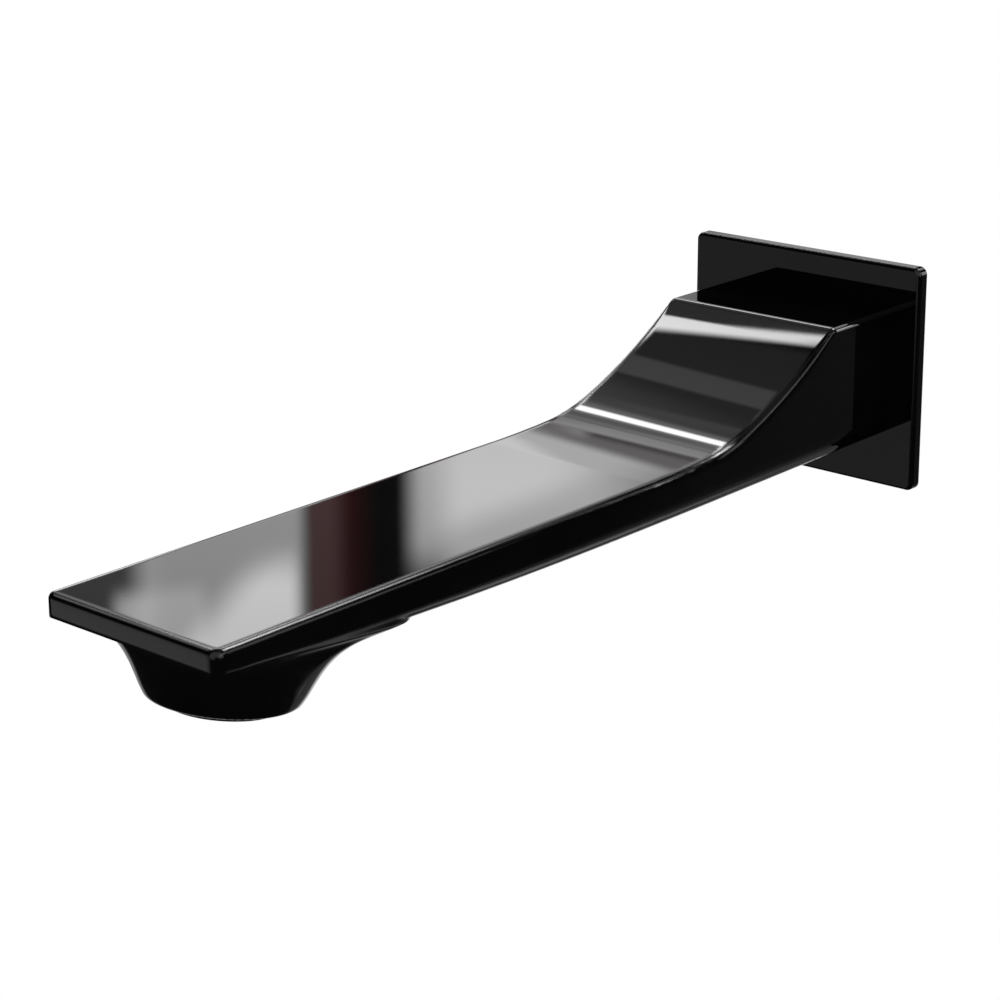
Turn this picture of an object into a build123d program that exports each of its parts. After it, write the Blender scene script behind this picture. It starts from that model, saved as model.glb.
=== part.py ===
# Wall-mounted bath spout: a flat rectangular arm with a scooped top, a round outlet and a wall flange.
# Units are mm. The wall is the plane Y = 0, the spout reaches toward -Y and +Z is up.
import os
from math import acos, cos, radians, sin, sqrt
from build123d import *

os.makedirs("parts", exist_ok=True)

# Wall flange and its gasket
FLANGE_W, FLANGE_H, FLANGE_T = 62.0, 52.3, 3.0
FLANGE_CORNER_R, FLANGE_EDGE_R = 1.8, 0.9
GASKET_T, GASKET_MARGIN, GASKET_HOLE_R = 1.4, 5.0, 16.0
FLANGE_HOLE_R = 11.0

# Spout body
BODY_W, REACH = 45.2, 210.5
SHELF_Z, ARM_TOP_Z, BLOCK_BOTTOM_Z, TIP_BOTTOM_Z = 15.2, -4.7, -16.0, -9.25
SCOOP_START_Y, SCOOP_RADII, SCOOP_ANGLES = -89.5, (330.0, 50.0, 135.0), (0.0, 3.4, 19.8)
SHELF_EDGE_R, TOP_EDGE_R, TIP_CORNER_R = 3.2, 1.2, 2.0
BLOCK_CORNER_R, TIP_BOTTOM_R = 6.0, 0.7

# Round outlet: rim centre, lean away from the wall, and the boss that joins it to the arm
TIP_TO_OUTLET, OUTLET_Z, OUTLET_LEAN = 21.9, -25.8, 9.1
OUTLET_Y = TIP_TO_OUTLET - REACH
RIM_R, RIM_EDGE_R = 14.25, 1.6
BOSS_H, BOSS_W, BOSS_L, BOSS_BACK, BOSS_LEVEL = 15.1, 44.6, 52.8, 4.8, 3.8
BOSS_CORNER_R, BOSS_OVERLAP = 11.35, 1.5
SEAT_DEPTH, SEAT_BORE_R, THROAT_R, THROAT_H = 9.5, 12.0, 8.5, 7.0

# Waterway and wall connection
CHANNEL_W, CHANNEL_TOP_Z, CHANNEL_REAR_Z, CHANNEL_END_Z = 28.0, -7.0, -12.0, -10.0
CHANNEL_BEND_Y, CHANNEL_BEND_Z, CHANNEL_LAP = -150.0, -10.6, 2.0
SOCKET_R, SOCKET_END_Y = 11.0, -25.0
NIPPLE_R, NIPPLE_BORE_R, NIPPLE_END_Y, THREAD_R, THREAD_END_Y = 10.2, 6.2, -22.0, 10.48, 14.0
O_RING_YS, O_RING_W, O_RING_SEAT_R = (-14.5, -18.5), 2.0, 9.4
SCREW_Y, SCREW_R, SCREW_TIP_R, SCREW_TIP_L, SCREW_HEX = -8.0, 2.5, 1.5, 1.8, 2.5
SCREW_SINK, SCREW_HOLE_H, SCREW_HEX_H = 0.4, 7.5, 2.5
KEY_R, KEY_DEPTH, THREAD_CHAMFER = 7.0, 9.0, 1.0
GROOVE_GAP, O_RING_EDGE_R = 0.2, 0.6

# Aerator
COLLAR_R, COLLAR_H, CARTRIDGE_R, SHOULDER_R, SHOULDER_H = 10.8, 1.3, 10.2, 9.4, 0.3
GRID_T, INSERT_TOP, HOUSING_TOP, HOLE_PITCH = 0.8, 6.3, 7.5, 2.5
INSERT_BORE_R, INSERT_PLATE_T, STRAINER_BORE_R, STRAINER_T = 8.9, 1.4, 9.7, 0.4
GRID_HOLE_R, INSERT_HOLE_R, STRAINER_HOLE_R, COLLAR_EDGE_R = 1.15, 0.6, 0.8, 0.35


def tube(r_out, r_in, z0, z1):
    # Ring about the Z axis between two heights.
    height = z1 - z0
    ring = Cylinder(r_out, height) - Cylinder(r_in, height)
    return Pos(0, 0, (z0 + z1) / 2) * ring


def y_rod(r, y0, y1):
    # Cylinder along Y between two stations.
    return Pos(0, (y0 + y1) / 2, 0) * Rot(90, 0, 0) * Cylinder(r, abs(y1 - y0))


def section(f):
    # Cross-section of the body at fraction f of its reach; the underside rises and its corners sharpen.
    y = -FLANGE_T - f * (REACH - FLANGE_T)
    top = SHELF_Z + BLOCK_CORNER_R
    bottom = BLOCK_BOTTOM_Z + (TIP_BOTTOM_Z - BLOCK_BOTTOM_Z) * (0.08 * f + 0.92 * f**3.5)
    corner_r = BLOCK_CORNER_R + (TIP_BOTTOM_R - BLOCK_CORNER_R) * f**1.4
    plane = Plane((0, y, (top + bottom) / 2), x_dir=(1, 0, 0), z_dir=(0, -1, 0))
    face = plane * Rectangle(BODY_W, top - bottom)
    return fillet(face.vertices().sort_by(Axis.Z)[:2], corner_r)


def flare(s):
    # Section of the boss at fraction s of its height: round at the rim, long and level under the arm.
    half_w = RIM_R + (BOSS_W / 2 - RIM_R) * (0.82 * s**0.85 + 0.18 * s**12)
    half_l = RIM_R + (BOSS_L / 2 - RIM_R) * (0.55 * s**0.85 + 0.45 * s**6)
    round_r = 0.995 * min(half_w, half_l)
    corner_r = round_r - (0.995 * min(BOSS_W, BOSS_L) / 2 - BOSS_CORNER_R) * s**4
    place = Pos(0, BOSS_BACK * s**6, BOSS_H * s) * Rot(BOSS_LEVEL * s**2, 0, 0)
    return outlet * place * RectangleRounded(2 * half_w, 2 * half_l, corner_r)


def perforated(r, thickness, hole_r, rings):
    # Disc on Z = 0 with hexagonal holes in a close-packed pattern.
    holes = Sketch()
    for row in range(-rings, rings + 1):
        for col in range(2 * rings + 1 - abs(row)):
            x = (col - (2 * rings - abs(row)) / 2) * HOLE_PITCH
            holes += Pos(x, row * HOLE_PITCH * sqrt(3) / 2) * RegularPolygon(hole_r, 6, rotation=30)
    return extrude(Circle(r) - holes, thickness)


# Side view of the top surface: level arm, concave scoop in three tangent arcs, level shelf at the wall
profile = Line((-REACH, ARM_TOP_Z), (SCOOP_START_Y, ARM_TOP_Z))
lead_r, toe_r, rise_r = SCOOP_RADII
level, lead_end, toe_end = (radians(a) for a in SCOOP_ANGLES)


def scoop_arc(begin, r, angle0, angle1):
    # Concave arc in the side view whose slope grows from angle0 to angle1.
    def at(angle):
        return begin[0] + r * (sin(angle) - sin(angle0)), begin[1] + r * (cos(angle0) - cos(angle))

    return ThreePointArc(begin, at((angle0 + angle1) / 2), at(angle1))


lead = scoop_arc((SCOOP_START_Y, ARM_TOP_Z), lead_r, level, lead_end)
toe = scoop_arc(((lead @ 1).X, (lead @ 1).Y), toe_r, lead_end, toe_end)
rise_start = ((toe @ 1).X, (toe @ 1).Y)
crest_angle = acos(cos(toe_end) - (SHELF_Z - rise_start[1]) / rise_r)
rise = scoop_arc(rise_start, rise_r, toe_end, crest_angle)
crest_y = (rise @ 1).X
profile += lead + toe + rise
profile += Polyline(
    (crest_y, SHELF_Z), (-FLANGE_T, SHELF_Z), (-FLANGE_T, -BODY_W), (-REACH, -BODY_W), (-REACH, ARM_TOP_Z)
)
side_view = make_face(Plane.YZ * profile)
plan = Pos(0, -(REACH + FLANGE_T) / 2) * Rectangle(BODY_W, REACH - FLANGE_T)
plan = fillet(plan.vertices().sort_by(Axis.Y)[:2], TIP_CORNER_R)
envelope = extrude(side_view, BODY_W, both=True) & extrude(plan, BODY_W, both=True)

body = loft([section(f) for f in (0, 0.23, 0.47, 0.71, 0.87, 1)]) & envelope

# Outlet boss: round at the rim, widening into a rounded rectangle as wide as the arm
lean = radians(OUTLET_LEAN)
outlet = Plane((0, OUTLET_Y, OUTLET_Z), x_dir=(1, 0, 0), z_dir=(0, sin(lean), cos(lean)))
boss = loft([flare(s) for s in (0, 0.2, 0.44, 0.68, 0.86, 1)])
boss += extrude(boss.faces().sort_by(Axis.Z)[-1], BOSS_OVERLAP)
body = body + boss

# Rounded edges: shelf front, outlet rim, then the whole top outline
crest = body.edges().filter_by(Axis.X).filter_by(lambda e: abs(e.center().Y - crest_y) < 0.1)
body = fillet(crest, SHELF_EDGE_R)
rim = body.edges().filter_by(lambda e: (outlet.to_local_coords(e).bounding_box().max.Z) < 0.01)
body = fillet(rim, RIM_EDGE_R)


def on_top(e):
    # Edges between the top surfaces and the sides or the tip.
    box = e.bounding_box()
    side = box.size.X < 0.01 and abs(abs(box.center().X) - BODY_W / 2) < 0.01 and box.size.Y > 0.01
    tip = box.size.Z < 0.01 and box.max.Y < -REACH + TIP_CORNER_R + 0.01
    return box.min.Z > ARM_TOP_Z - 0.01 and (side or tip)


body = fillet(body.edges().filter_by(on_top), TOP_EDGE_R)

# Waterway: socket for the nipple, flat channel through the arm, throat and threaded seat of the outlet
rear_y, front_y = SOCKET_END_Y + CHANNEL_LAP, OUTLET_Y + CHANNEL_LAP
channel = Polyline(
    (rear_y, CHANNEL_TOP_Z), (front_y, CHANNEL_TOP_Z), (front_y, CHANNEL_END_Z),
    (CHANNEL_BEND_Y, CHANNEL_BEND_Z), (rear_y, CHANNEL_REAR_Z), (rear_y, CHANNEL_TOP_Z),
)
body -= extrude(make_face(Plane.YZ * channel), CHANNEL_W / 2, both=True)
body -= y_rod(SOCKET_R, -FLANGE_T, SOCKET_END_Y)
body -= outlet * Pos(0, 0, SEAT_DEPTH / 2) * Cylinder(SEAT_BORE_R, SEAT_DEPTH)
body -= outlet * Pos(0, 0, SEAT_DEPTH + THROAT_H / 2) * Cylinder(THROAT_R, THROAT_H)
screw_bottom = BLOCK_BOTTOM_Z + SCREW_SINK
body -= Pos(0, SCREW_Y, screw_bottom) * Cylinder(SCREW_R, 2 * SCREW_HOLE_H)

# Wall flange with a recess for the gasket at its back
outline = RectangleRounded(FLANGE_W, FLANGE_H, FLANGE_CORNER_R)
flange = extrude(Plane.XZ * outline, FLANGE_T)
flange = fillet(flange.faces().sort_by(Axis.Y)[0].edges(), FLANGE_EDGE_R)
recess = RectangleRounded(FLANGE_W - 2 * GASKET_MARGIN, FLANGE_H - 2 * GASKET_MARGIN, FLANGE_CORNER_R)
pad = extrude(Plane.XZ * recess, GASKET_T)
flange = flange - pad - y_rod(FLANGE_HOLE_R, 0, -FLANGE_T)
gasket = pad - y_rod(GASKET_HOLE_R, 0, -GASKET_T)

# Inlet nipple: thread for the wall, O-ring grooves, a groove for the grub screw and a hexagon inside
groove_w = O_RING_W + 2 * GROOVE_GAP
nipple = y_rod(NIPPLE_R, 0, NIPPLE_END_Y) + y_rod(THREAD_R, 0, THREAD_END_Y)
nipple = chamfer(nipple.edges().filter_by(GeomType.CIRCLE).sort_by(Axis.Y)[-1], THREAD_CHAMFER)
for y in O_RING_YS:
    cutter = y_rod(NIPPLE_R + O_RING_W, y - groove_w / 2, y + groove_w / 2)
    nipple -= cutter - y_rod(O_RING_SEAT_R, y - groove_w, y + groove_w)
screw_groove = SCREW_TIP_R + 1.5 * GROOVE_GAP
cutter = y_rod(NIPPLE_R + O_RING_W, SCREW_Y - screw_groove, SCREW_Y + screw_groove)
nipple -= cutter - y_rod(O_RING_SEAT_R, SCREW_Y - 2 * screw_groove, SCREW_Y + 2 * screw_groove)
nipple -= y_rod(NIPPLE_BORE_R, NIPPLE_END_Y, THREAD_END_Y)
key = Plane((0, NIPPLE_END_Y, 0), x_dir=(1, 0, 0), z_dir=(0, 1, 0)) * RegularPolygon(KEY_R, 6)
nipple -= extrude(key, KEY_DEPTH)

o_rings = []
for y in O_RING_YS:
    ring = y_rod(SOCKET_R, y - O_RING_W / 2, y + O_RING_W / 2)
    ring -= y_rod(O_RING_SEAT_R, y - O_RING_W / 2, y + O_RING_W / 2)
    o_rings.append(fillet(ring.edges().filter_by(GeomType.CIRCLE), O_RING_EDGE_R))

# Grub screw under the block, its tip in the nipple groove
tip_z = -O_RING_SEAT_R
thread_top = tip_z - SCREW_TIP_L
screw = Pos(0, SCREW_Y, (screw_bottom + thread_top) / 2) * Cylinder(SCREW_R, thread_top - screw_bottom)
screw += Pos(0, SCREW_Y, tip_z - SCREW_TIP_L / 2) * Cylinder(SCREW_TIP_R, SCREW_TIP_L)
screw -= extrude(Pos(0, SCREW_Y, screw_bottom) * RegularPolygon(SCREW_HEX / sqrt(3), 6), SCREW_HEX_H)

# Aerator: housing with a collar under the rim, washer, strainer cup, jet insert and outlet grid
housing = tube(COLLAR_R, SHOULDER_R, -COLLAR_H, 0) + tube(SEAT_BORE_R, SHOULDER_R, 0, SHOULDER_H)
housing = fillet(housing.edges().filter_by(GeomType.CIRCLE).sort_by(Axis.Z)[:2], COLLAR_EDGE_R)
housing += tube(SEAT_BORE_R, CARTRIDGE_R, SHOULDER_H, HOUSING_TOP)
washer = tube(SEAT_BORE_R, THROAT_R, HOUSING_TOP, SEAT_DEPTH)
grid = Pos(0, 0, SHOULDER_H) * perforated(CARTRIDGE_R, GRID_T, GRID_HOLE_R, 3)
insert = tube(CARTRIDGE_R, INSERT_BORE_R, SHOULDER_H + GRID_T, INSERT_TOP)
insert += Pos(0, 0, INSERT_TOP - INSERT_PLATE_T) * perforated(INSERT_BORE_R, INSERT_PLATE_T, INSERT_HOLE_R, 3)
strainer = Pos(0, 0, INSERT_TOP) * perforated(CARTRIDGE_R, STRAINER_T, STRAINER_HOLE_R, 3)
strainer += tube(CARTRIDGE_R, STRAINER_BORE_R, INSERT_TOP + STRAINER_T, HOUSING_TOP)

nodes = {
    "spout_body": body,
    "wall_flange": flange,
    "flange_gasket": gasket,
    "inlet_nipple": nipple,
    "nipple_o_ring_outer": o_rings[0],
    "nipple_o_ring_inner": o_rings[1],
    "grub_screw": screw,
    "aerator_housing": outlet * housing,
    "aerator_washer": outlet * washer,
    "aerator_strainer": outlet * strainer,
    "aerator_insert": outlet * insert,
    "aerator_grid": outlet * grid,
}
for name, shape in nodes.items():
    export_step(shape, f"parts/{name}.step")
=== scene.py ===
# Wall-mounted bath spout in gloss black, seen from above its near side on a plain white ground.
from math import cos, pi, radians, sin

import bmesh
import bpy
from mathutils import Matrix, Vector


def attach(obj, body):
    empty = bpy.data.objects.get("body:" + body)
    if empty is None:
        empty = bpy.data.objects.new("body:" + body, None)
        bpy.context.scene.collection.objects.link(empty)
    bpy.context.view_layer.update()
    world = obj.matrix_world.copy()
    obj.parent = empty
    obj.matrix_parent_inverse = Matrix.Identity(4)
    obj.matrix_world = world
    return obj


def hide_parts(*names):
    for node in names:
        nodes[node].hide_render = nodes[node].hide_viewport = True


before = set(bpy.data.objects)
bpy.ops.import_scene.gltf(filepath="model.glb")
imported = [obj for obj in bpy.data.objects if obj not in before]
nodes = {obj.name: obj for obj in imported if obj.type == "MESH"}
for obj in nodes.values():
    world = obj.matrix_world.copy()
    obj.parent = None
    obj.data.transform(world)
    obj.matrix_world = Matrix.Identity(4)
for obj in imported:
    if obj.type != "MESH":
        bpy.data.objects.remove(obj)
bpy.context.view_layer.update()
scene = bpy.context.scene
MM = 0.001
WHITE = (1, 1, 1, 1)


# Node helpers
class Tree:
    """A node tree with short calls for adding and joining nodes."""

    def __init__(self, tree):
        self.tree = tree
        tree.nodes.clear()

    def add(self, kind, inputs=None, **settings):
        node = self.tree.nodes.new(kind)
        for key, value in settings.items():
            setattr(node, key, value)
        for key, value in (inputs or {}).items():
            self.put(node.inputs[key], value)
        return node

    def put(self, socket, value):
        if isinstance(value, bpy.types.NodeSocket):
            self.tree.links.new(value, socket)
        else:
            socket.default_value = value

    def finish(self, kind, result):
        """Joins the last result to an output node."""
        self.add(kind, {0: result})

    def math(self, operation, *values):
        node = self.add("ShaderNodeMath", operation=operation)
        for socket, value in zip(node.inputs, values):
            self.put(socket, value)
        return node.outputs[0]

    def remap(self, value, low, high, to_low, to_high, smooth=False):
        kind = "SMOOTHSTEP" if smooth else "LINEAR"
        node = self.add("ShaderNodeMapRange", {0: value, 1: low, 2: high, 3: to_low, 4: to_high},
                        interpolation_type=kind)
        return node.outputs[0]

    def mix(self, factor, a, b):
        node = self.add("ShaderNodeMix", data_type="RGBA")
        for key, value in (("Factor_Float", factor), ("A_Color", a), ("B_Color", b)):
            self.put(next(s for s in node.inputs if s.identifier == key), value)
        return next(s for s in node.outputs if s.identifier == "Result_Color")

    def place(self):
        """Where a point lies on the piece, in the piece's own coordinates."""
        return self.add("ShaderNodeTexCoord").outputs["Object"]

    def noise(self, scale, detail=2.0):
        node = self.add("ShaderNodeTexNoise", {"Scale": scale, "Detail": detail, "Vector": self.place()})
        return node.outputs["Fac"]

    def camera_ray(self):
        """1 for what the camera sees directly, 0 for light and reflections."""
        return self.add("ShaderNodeLightPath").outputs["Is Camera Ray"]


# Finishes
# Stretch of the noise that is used from end to end, how much coarser the roughness drifts than the
# colour, and how deep the fine relief is
NOISE_SPAN = (0.3, 0.7)
ROUGHNESS_GRAIN = 0.6
RELIEF_DEPTH = 0.2 * MM
# Tool marks of a turned surface: how close the rings lie and how far they wander
RING_SCALE = 700.0
RING_WANDER = 0.6
SURFACE_IOR = 1.5
# Softened edges of the body: radius on the scoop, the share of it on the arm, the depths between which
# it grows from the arm to the scoop, and the depths between which it runs out before the shelf
SOFT_EDGE = 2.2 * MM
SOFT_EDGE_ARM_SHARE = 0.7
SOFT_EDGE_GROWS = (-110 * MM, -70 * MM)
SOFT_EDGE_RUNS_OUT = (-32 * MM, -26 * MM)
SOFT_EDGE_SAMPLES = 16


def soft_edge_normal(t):
    """Surface direction that rounds the body's edges off in the shading."""
    depth = t.add("ShaderNodeSeparateXYZ", {0: t.place()}).outputs[1]
    grown = t.remap(depth, *SOFT_EDGE_GROWS, SOFT_EDGE * SOFT_EDGE_ARM_SHARE, SOFT_EDGE)
    left = t.remap(depth, *SOFT_EDGE_RUNS_OUT, 1.0, 0.0)
    rounded = t.add("ShaderNodeBevel", {"Radius": t.math("MULTIPLY", grown, left)},
                    samples=SOFT_EDGE_SAMPLES)
    return rounded.outputs[0]


def finish_material(name, dark, light, rough, metallic=0.0, grain=120.0, bump=0.0, bump_scale=900.0,
                    turned=False, soft_edges=False):
    """Material whose colour and roughness drift a little over the surface, with a fine bump."""
    mat = bpy.data.materials.new(name)
    mat.use_nodes = True
    t = Tree(mat.node_tree)
    colour = t.mix(t.remap(t.noise(grain), *NOISE_SPAN, 0.0, 1.0), (*dark, 1), (*light, 1))
    roughness = t.remap(t.noise(grain * ROUGHNESS_GRAIN, detail=4.0), *NOISE_SPAN, *rough)
    if turned:
        height = t.add("ShaderNodeTexWave", {"Vector": t.place(), "Scale": RING_SCALE,
                                             "Distortion": RING_WANDER},
                       bands_direction="Y").outputs["Fac"]
    else:
        height = t.noise(bump_scale, detail=3.0)
    relief = t.add("ShaderNodeBump", {"Strength": bump, "Distance": RELIEF_DEPTH, "Height": height})
    if soft_edges:
        t.put(relief.inputs["Normal"], soft_edge_normal(t))
    surface = t.add("ShaderNodeBsdfPrincipled", {
        "Base Color": colour, "Roughness": roughness, "Metallic": metallic, "IOR": SURFACE_IOR,
        "Normal": relief.outputs[0]})
    t.finish("ShaderNodeOutputMaterial", surface.outputs[0])
    return mat


gloss_black = finish_material("gloss_black", (0.0012, 0.0012, 0.0013), (0.0022, 0.0022, 0.0023),
                              rough=(0.02, 0.03), grain=60.0, bump=0.0015, soft_edges=True)
aerator_black = finish_material("aerator_black", (0.006, 0.006, 0.006), (0.012, 0.012, 0.012),
                                rough=(0.22, 0.32), bump=0.05)
brass = finish_material("brass", (0.70, 0.48, 0.20), (0.80, 0.58, 0.28),
                        rough=(0.24, 0.36), metallic=1.0, bump=0.08, turned=True)
rubber = finish_material("rubber", (0.010, 0.010, 0.010), (0.022, 0.022, 0.022),
                         rough=(0.50, 0.65), bump=0.2)
steel = finish_material("steel", (0.42, 0.42, 0.43), (0.56, 0.56, 0.57),
                        rough=(0.26, 0.36), metallic=1.0, bump=0.05)
plastic = finish_material("plastic", (0.50, 0.50, 0.49), (0.60, 0.60, 0.58),
                          rough=(0.38, 0.48), bump=0.05)
foam = finish_material("gasket_foam", (0.016, 0.016, 0.017), (0.050, 0.050, 0.052),
                       rough=(0.80, 0.92), grain=900.0, bump=0.9, bump_scale=1400.0)

finishes = {
    "spout_body": gloss_black,
    "wall_flange": gloss_black,
    "flange_gasket": foam,
    "inlet_nipple": brass,
    "nipple_o_ring_outer": rubber,
    "nipple_o_ring_inner": rubber,
    "grub_screw": steel,
    "aerator_housing": aerator_black,
    "aerator_washer": rubber,
    "aerator_strainer": plastic,
    "aerator_insert": plastic,
    "aerator_grid": aerator_black,
}
for name, mat in finishes.items():
    for slot in nodes[name].material_slots:
        slot.link = "OBJECT"
        slot.material = mat


# Inlet nipple with its pipe thread: a turned tube and a helical ridge
THREAD_ROOT_R = 9.32 * MM
THREAD_CREST_R = 10.47 * MM
THREAD_PITCH = 1.814 * MM
THREAD_FROM_Y = 1.6 * MM
THREAD_TO_Y = 13.4 * MM
THREAD_STEPS_PER_TURN = 72
# Shares of the pitch that the ridge takes at its foot and at its crest
RIDGE_FOOT_SHARE = 0.94
RIDGE_CREST_SHARE = 0.16
# Shares of the thread's length where the ridge grows and where it dies away, and its scale at the tips
RIDGE_GROWS = (0.0, 0.09)
RIDGE_DIES = (0.85, 1.0)
RIDGE_TIP_SCALE = 0.02
TUBE_STEPS = 96
SHARP_ANGLE = radians(30)
# Radius and Y of each corner of the tube's section in mm: two O-ring grooves, the grub screw's groove,
# the collar and the stub that carries the thread
NIPPLE_PROFILE_MM = [
    (6.2, -22.0), (9.9, -22.0), (10.2, -21.7),
    (10.2, -19.7), (9.4, -19.7), (9.4, -17.3), (10.2, -17.3),
    (10.2, -15.7), (9.4, -15.7), (9.4, -13.3), (10.2, -13.3),
    (10.2, -9.8), (9.4, -9.8), (9.4, -6.2), (10.2, -6.2),
    (10.2, 0.0), (10.2, 0.4),
    (9.32, 1.0), (9.32, 13.6), (9.1, 14.0), (6.6, 14.0), (6.2, 13.6),
]


def turned_tube(mesh, profile, steps=TUBE_STEPS):
    """Adds a closed ring of profile points (radius, Y) turned about the Y axis."""
    rings = []
    for i in range(steps):
        a = 2 * pi * i / steps
        rings.append([mesh.verts.new((r * MM * sin(a), y * MM, r * MM * cos(a))) for r, y in profile])
    for i in range(steps):
        here = rings[i]
        after = rings[(i + 1) % steps]
        for j in range(len(profile)):
            k = (j + 1) % len(profile)
            mesh.faces.new((here[j], here[k], after[k], after[j]))


def thread_nodes():
    """Geometry Nodes tree: a ridge swept along a spiral, fading out at both ends."""
    tree = bpy.data.node_groups.new("pipe_thread", "GeometryNodeTree")
    length = THREAD_TO_Y - THREAD_FROM_Y
    sizes = {
        "Turns": length / THREAD_PITCH,
        "Root radius": THREAD_ROOT_R,
        "Length": length,
        "Ridge width": THREAD_PITCH * RIDGE_FOOT_SHARE,
        "Crest width": THREAD_PITCH * RIDGE_CREST_SHARE,
        "Ridge height": THREAD_CREST_R - THREAD_ROOT_R,
    }
    for label, value in sizes.items():
        socket = tree.interface.new_socket(label, in_out="INPUT", socket_type="NodeSocketFloat")
        socket.default_value = value
    tree.interface.new_socket("Thread", in_out="OUTPUT", socket_type="NodeSocketGeometry")
    t = Tree(tree)
    given = t.add("NodeGroupInput").outputs
    spiral = t.add("GeometryNodeCurveSpiral", {
        "Resolution": THREAD_STEPS_PER_TURN, "Rotations": given["Turns"], "Height": given["Length"],
        "Start Radius": given["Root radius"], "End Radius": given["Root radius"]})
    upright = t.add("GeometryNodeSetCurveNormal", {"Curve": spiral.outputs[0]}, mode="Z_UP")
    along = t.add("GeometryNodeSplineParameter").outputs["Factor"]
    fade = t.math("MULTIPLY", t.remap(along, *RIDGE_GROWS, RIDGE_TIP_SCALE, 1.0),
                  t.remap(along, *RIDGE_DIES, 1.0, RIDGE_TIP_SCALE))
    # The section is centred on the root, so its lower half lies inside the tube
    foot = t.math("SUBTRACT", t.math("MULTIPLY", given["Ridge width"], 2.0), given["Crest width"])
    section = t.add("GeometryNodeCurvePrimitiveQuadrilateral", {
        "Bottom Width": foot, "Top Width": given["Crest width"],
        "Height": t.math("MULTIPLY", given["Ridge height"], 2.0), "Offset": 0.0}, mode="TRAPEZOID")
    outward = t.add("GeometryNodeTransform", {
        "Geometry": section.outputs[0], "Rotation": (0.0, 0.0, radians(90))})
    swept = t.add("GeometryNodeCurveToMesh", {
        "Curve": upright.outputs[0], "Profile Curve": outward.outputs[0], "Scale": fade,
        "Fill Caps": True})
    real = t.add("GeometryNodeRealizeInstances", {"Geometry": swept.outputs[0]})
    coated = t.add("GeometryNodeSetMaterial", {"Geometry": real.outputs[0], "Material": brass})
    t.finish("NodeGroupOutput", coated.outputs[0])
    return tree


def threaded_nipple():
    """Makes the nipple as one mesh, the swept ridge on the turned tube, in the CAD nipple's place."""
    holder = bpy.data.objects.new("thread_holder", bpy.data.meshes.new("thread_holder"))
    scene.collection.objects.link(holder)
    sweep = holder.modifiers.new("thread", "NODES")
    sweep.node_group = thread_nodes()
    bpy.context.view_layer.update()
    made = bpy.data.meshes.new_from_object(holder.evaluated_get(bpy.context.evaluated_depsgraph_get()))
    holder.modifiers.remove(sweep)
    bpy.data.objects.remove(holder)
    mesh = bmesh.new()
    mesh.from_mesh(made)
    for v in mesh.verts:
        v.co = Vector((v.co.x, v.co.z + THREAD_FROM_Y, -v.co.y))
    turned_tube(mesh, NIPPLE_PROFILE_MM)
    bmesh.ops.recalc_face_normals(mesh, faces=mesh.faces)
    data = bpy.data.meshes.new("threaded_nipple")
    mesh.to_mesh(data)
    mesh.free()
    data.materials.clear()
    data.materials.append(brass)
    obj = bpy.data.objects.new("threaded_nipple", data)
    scene.collection.objects.link(obj)
    data.shade_smooth()
    data.set_sharp_from_angle(angle=SHARP_ANGLE)
    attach(obj, "root")
    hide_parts("inlet_nipple")


threaded_nipple()


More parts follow.
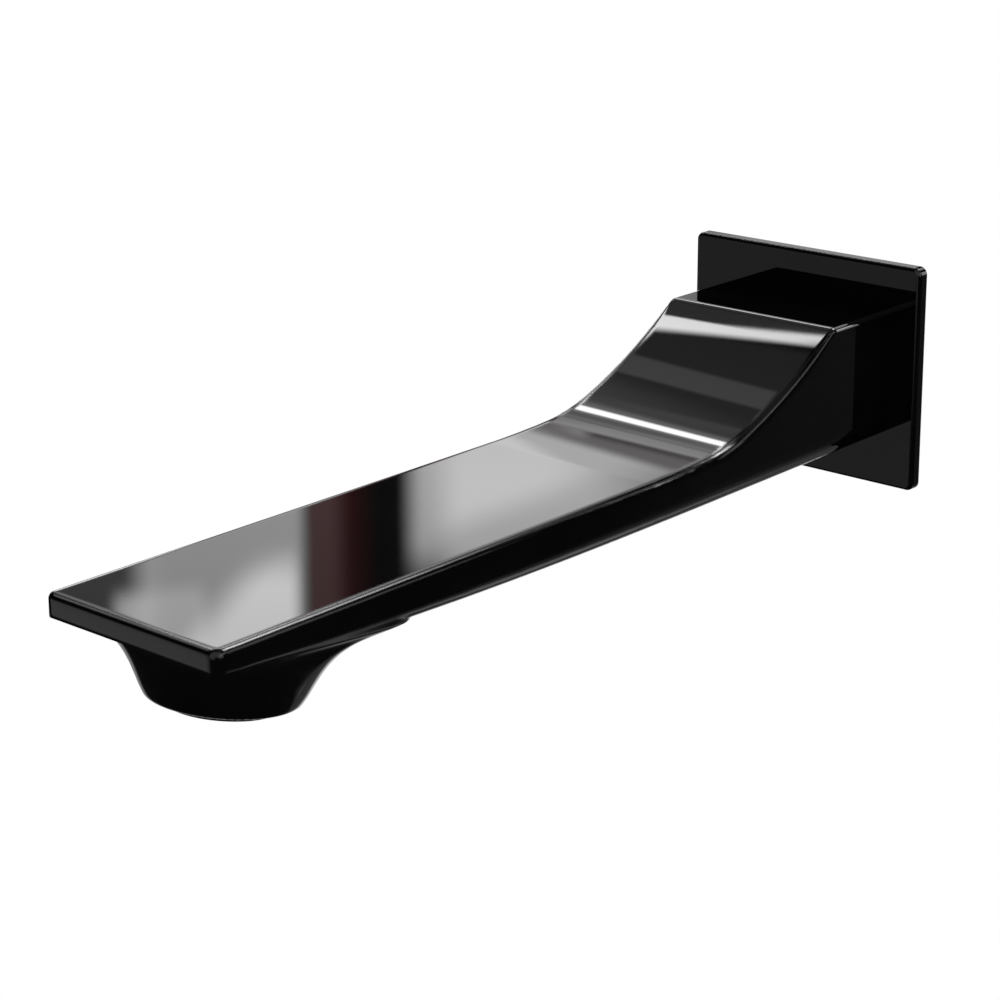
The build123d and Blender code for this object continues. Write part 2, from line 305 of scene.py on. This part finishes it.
# Studio: white to the camera; soft panels stand round the spout in a dark room and show in its gloss
# Each panel has its azimuth left of +Y and its elevation in degrees, how soft its edges are, and its glow
# Some have edges that lean, or a tint
PANELS = {
    "back_wide": dict(
        az=(37.1, 42.86), el=(-8.0, 20.05), az_soft=(3.4, 0.7), el_soft=(6.0, 1.4), glow=1.5,
        el_lean=(0.0, 0.05)),
    "back_wide_core": dict(
        az=(38.5, 42.3), el=(-8.0, 18.0), az_soft=(2.6, 1.6), el_soft=(6.0, 0.9), glow=0.78,
        el_lean=(0.0, -0.35)),
    "back_tail": dict(
        az=(33.0, 42.0), el=(17.5, 21.08), az_soft=(3.0, 1.0), el_soft=(2.0, 0.3), glow=0.4,
        el_lean=(0.0, 0.25)),
    "flange_top": dict(
        az=(27.0, 36.0), el=(6.0, 16.5), az_soft=(4.0, 3.0), el_soft=(4.0, 3.0), glow=0.75),
    "gap_glow": dict(
        az=(44.55, 45.3), el=(-8.0, 26.0), az_soft=(0.7, 0.3), el_soft=(4.0, 4.0), glow=0.13,
        tint=(1.2, 0.95, 0.95)),
    "gap_red": dict(
        az=(44.1, 45.3), el=(-8.0, 26.0), az_soft=(1.2, 0.3), el_soft=(4.0, 4.0), glow=0.05,
        tint=(2.0, 0.3, 0.35)),
    "back_left": dict(
        az=(45.42, 49.4), el=(9.0, 22.5), az_soft=(0.5, 0.8), el_soft=(8.0, 2.0), glow=1.35),
    "back_left_core": dict(
        az=(45.6, 77.9), el=(19.7, 22.5), az_soft=(0.5, 1.4), el_soft=(1.2, 2.0), glow=1.9,
        az_lean=(0.0, 0.9)),
    "back_left_high": dict(
        az=(47.8, 49.9), el=(20.2, 23.0), az_soft=(0.6, 0.5), el_soft=(0.6, 2.0), glow=0.6),
    "back_left_end": dict(
        az=(49.3, 50.0), el=(20.3, 23.0), az_soft=(0.8, 0.5), el_soft=(0.6, 2.0), glow=1.0),
    "left_haze": dict(
        az=(49.0, 62.0), el=(16.0, 24.0), az_soft=(1.0, 6.0), el_soft=(3.0, 4.0), glow=0.2),
    "low_left": dict(
        az=(50.6, 61.0), el=(2.0, 15.5), az_soft=(1.6, 4.0), el_soft=(4.0, 4.0), glow=3.0),
    "toe_haze": dict(
        az=(33.0, 42.0), el=(19.5, 33.6), az_soft=(3.0, 1.0), el_soft=(1.0, 2.0), glow=0.17,
        tint=(1.1, 0.95, 0.95)),
    "toe_corner": dict(
        az=(39.8, 42.2), el=(20.75, 22.2), az_soft=(0.5, 0.4), el_soft=(0.5, 0.8), glow=0.75),
    "toe_start": dict(
        az=(33.0, 39.8), el=(21.32, 22.3), az_soft=(3.0, 0.5), el_soft=(0.3, 0.8), glow=0.6,
        el_lean=(0.25, 0.0)),
    "toe_panel": dict(
        az=(33.0, 75.0), el=(22.3, 33.6), az_soft=(3.0, 10.0), el_soft=(0.8, 2.0), glow=0.66),
    "toe_core": dict(
        az=(33.0, 60.0), el=(22.6, 27.9), az_soft=(3.0, 8.0), el_soft=(2.6, 1.2), glow=0.5),
    "toe_step": dict(
        az=(33.0, 60.0), el=(28.6, 30.6), az_soft=(3.0, 8.0), el_soft=(0.8, 0.8), glow=0.22),
    "strip_light": dict(
        az=(33.0, 62.0), el=(34.75, 37.75), az_soft=(3.0, 8.0), el_soft=(1.3, 1.3), glow=8.7),
    "strip_glow": dict(
        az=(33.0, 62.0), el=(33.4, 40.2), az_soft=(3.0, 8.0), el_soft=(1.5, 2.5), glow=0.8),
    "mid_panel": dict(
        az=(33.0, 75.0), el=(33.5, 46.3), az_soft=(3.0, 8.0), el_soft=(1.0, 4.5), glow=0.3),
    "left_dim": dict(
        az=(48.0, 76.0), el=(40.0, 66.0), az_soft=(8.0, 4.0), el_soft=(4.0, 8.0), glow=0.2),
    "thin_strip": dict(
        az=(50.0, 75.0), el=(58.4, 63.1), az_soft=(4.0, 4.0), el_soft=(0.9, 0.9), glow=0.42,
        el_lean=(0.45, 0.45)),
    "side_strip": dict(
        az=(76.4, 79.9), el=(44.0, 76.0), az_soft=(2.2, 0.9), el_soft=(4.0, 6.0), glow=11.5,
        az_lean=(0.75, 0.0)),
    "side_dim": dict(
        az=(80.0, 100.0), el=(46.0, 70.0), az_soft=(2.0, 8.0), el_soft=(4.0, 8.0), glow=0.35),
    "side_low": dict(
        az=(86.0, 116.0), el=(38.0, 46.0), az_soft=(6.0, 6.0), el_soft=(4.0, 4.0), glow=1.5),
    "top_back": dict(
        az=(-29.0, 34.0), el=(43.0, 58.0), az_soft=(6.0, 10.0), el_soft=(4.0, 4.0), glow=1.7),
    "shelf_edge_back": dict(
        az=(-29.0, 34.0), el=(31.5, 36.0), az_soft=(6.0, 10.0), el_soft=(3.0, 1.6), glow=1.7),
    "top_back_line": dict(
        az=(-17.0, -2.0), el=(45.5, 52.0), az_soft=(5.0, 5.0), el_soft=(3.0, 3.0), glow=10.0),
    "top_back_core": dict(
        az=(-26.0, 6.0), el=(49.0, 57.0), az_soft=(6.0, 6.0), el_soft=(3.0, 3.0), glow=9.0),
    "overhead": dict(
        az=(-66.0, 68.0), el=(60.0, 100.0), az_soft=(12.0, 8.0), el_soft=(6.0, 4.0), glow=0.15),
    "right_high": dict(
        az=(-66.0, -48.0), el=(36.0, 60.0), az_soft=(8.0, 8.0), el_soft=(6.0, 6.0), glow=0.2),
    "right_mid": dict(
        az=(-66.0, -54.0), el=(18.0, 38.0), az_soft=(4.0, 4.0), el_soft=(6.0, 6.0), glow=0.3),
    "right_low": dict(
        az=(-50.0, -43.5), el=(8.0, 17.5), az_soft=(2.0, 2.0), el_soft=(3.0, 3.0), glow=1.3),
    "right_edge": dict(
        az=(-36.5, -29.0), el=(-4.0, 22.5), az_soft=(2.0, 2.0), el_soft=(3.0, 2.0), glow=2.0),
    "right_edge_core": dict(
        az=(-36.5, -29.0), el=(16.0, 22.5), az_soft=(2.0, 2.0), el_soft=(2.0, 2.0), glow=8.0),
    "right_scoop_line": dict(
        az=(-96.0, -44.0), el=(21.0, 31.0), az_soft=(10.0, 6.0), el_soft=(3.0, 3.0), glow=1.7),
    "front_left": dict(
        az=(120.0, 153.0), el=(-38.0, 2.0), az_soft=(6.0, 8.0), el_soft=(8.0, 8.0), glow=0.28),
    "front_left_core": dict(
        az=(117.0, 136.0), el=(-32.0, 0.0), az_soft=(6.0, 4.0), el_soft=(6.0, 8.0), glow=0.22),
    "right_dim": dict(
        az=(-36.0, -14.0), el=(-30.0, -6.0), az_soft=(8.0, 6.0), el_soft=(6.0, 6.0), glow=0.036),
    "ground_back_left": dict(
        az=(25.0, 50.0), el=(-42.0, 0.0), az_soft=(6.0, 8.0), el_soft=(8.0, 4.0), glow=0.8),
    "ground_left": dict(
        az=(50.0, 74.0), el=(-50.0, -22.0), az_soft=(8.0, 12.0), el_soft=(8.0, 8.0), glow=0.4),
    "ground_back": dict(
        az=(-40.0, -2.0), el=(-45.5, -38.5), az_soft=(10.0, 6.0), el_soft=(2.0, 7.0), glow=0.6),
    "ground_back_dim": dict(
        az=(-40.0, 26.0), el=(-48.0, -30.0), az_soft=(10.0, 6.0), el_soft=(3.0, 8.0), glow=0.12),
    "front_fill": dict(
        az=(158.0, 204.0), el=(-14.0, 70.0), az_soft=(8.0, 8.0), el_soft=(8.0, 20.0), glow=0.6),
    "front_fill_right": dict(
        az=(-204.0, -158.0), el=(-14.0, 70.0), az_soft=(8.0, 8.0), el_soft=(8.0, 20.0), glow=0.6),
    "right_fill_low": dict(
        az=(-118.0, -76.0), el=(-8.0, 30.0), az_soft=(24.0, 16.0), el_soft=(6.0, 10.0), glow=0.8),
    "right_fill": dict(
        az=(-158.0, -80.0), el=(2.0, 70.0), az_soft=(8.0, 12.0), el_soft=(10.0, 20.0), glow=0.6),
}
# Faint glow of the room between the panels
ROOM_GLOW = 0.014
# Direction that the leaning edges turn about
PIVOT_AZ = 39.0
PIVOT_EL = 54.5


def studio(world):
    """World shader: the sum of all panels for light and reflections, plain white for the camera."""
    t = Tree(world.node_tree)
    axis = t.add("ShaderNodeSeparateXYZ", {0: t.add("ShaderNodeTexCoord").outputs["Generated"]}).outputs
    azimuth = t.math("DEGREES", t.math("ARCTAN2", t.math("MULTIPLY", axis[0], -1.0), axis[1]))
    elevation = t.math("DEGREES", t.math("ARCSINE", axis[2]))

    def edge(value, other, pivot, lean, at, soft, falling):
        if lean:
            value = t.math("ADD", value, t.math("MULTIPLY", t.math("SUBTRACT", other, pivot), lean))
        ends = (1.0, 0.0) if falling else (0.0, 1.0)
        return t.remap(value, at - soft / 2, at + soft / 2, *ends, smooth=True)

    def patch(az, el, az_soft, el_soft, glow, az_lean=(0, 0), el_lean=(0, 0), tint=(1, 1, 1)):
        shape = glow
        for i in (0, 1):
            side = edge(azimuth, elevation, PIVOT_EL, -az_lean[i], az[i], az_soft[i], i == 1)
            end = edge(elevation, azimuth, PIVOT_AZ, el_lean[i], el[i], el_soft[i], i == 1)
            shape = t.math("MULTIPLY", t.math("MULTIPLY", side, end), shape)
        return t.add("ShaderNodeVectorMath", {0: tint, "Scale": shape}, operation="SCALE").outputs[0]

    total = t.add("ShaderNodeCombineXYZ", {0: ROOM_GLOW, 1: ROOM_GLOW, 2: ROOM_GLOW}).outputs[0]
    for panel in PANELS.values():
        total = t.add("ShaderNodeVectorMath", {0: total, 1: patch(**panel)}, operation="ADD").outputs[0]
    light = t.add("ShaderNodeBackground", {"Color": t.mix(t.camera_ray(), total, WHITE), "Strength": 1.0})
    t.finish("ShaderNodeOutputWorld", light.outputs[0])


world = bpy.data.worlds.new("studio")
world.use_nodes = True
scene.world = world
studio(world)

# Pale floor under the spout, white to the camera
FLOOR_HALF = 4.0
FLOOR_Z = -0.4
PAPER = (0.85, 0.85, 0.85, 1)
corners = [(-1, -1), (1, -1), (1, 1), (-1, 1)]
floor_mesh = bpy.data.meshes.new("floor")
floor_mesh.from_pydata([(x * FLOOR_HALF, y * FLOOR_HALF, FLOOR_Z) for x, y in corners], [], [(0, 1, 2, 3)])
floor = bpy.data.objects.new("floor", floor_mesh)
scene.collection.objects.link(floor)
floor.visible_glossy = False
paper = bpy.data.materials.new("white_paper")
paper.use_nodes = True
t = Tree(paper.node_tree)
matte = t.add("ShaderNodeBsdfDiffuse", {"Color": PAPER})
white = t.add("ShaderNodeEmission", {"Color": WHITE, "Strength": 1.0})
either = t.add("ShaderNodeMixShader", {0: t.camera_ray(), 1: matte.outputs[0], 2: white.outputs[0]})
t.finish("ShaderNodeOutputMaterial", either.outputs[0])
floor_mesh.materials.append(paper)

# Camera at the photograph's viewing angle: azimuth round to the right, pitch down, place in metres
AZIMUTH = radians(40.709)
PITCH = radians(13.782)
CAMERA_PLACE = (0.31639, -0.47893, 0.15331)
cam_data = bpy.data.cameras.new("camera")
cam_data.sensor_fit = "HORIZONTAL"
cam_data.sensor_width = 36.0
cam_data.lens = 90.32
cam_data.shift_y = -0.2
cam = bpy.data.objects.new("camera", cam_data)
scene.collection.objects.link(cam)
back = Vector((sin(AZIMUTH) * cos(PITCH), -cos(AZIMUTH) * cos(PITCH), sin(PITCH)))
cam.location = CAMERA_PLACE
cam.rotation_mode = "QUATERNION"
cam.rotation_quaternion = (-back).to_track_quat("-Z", "Y")
scene.camera = cam

scene.view_settings.view_transform = "Standard"
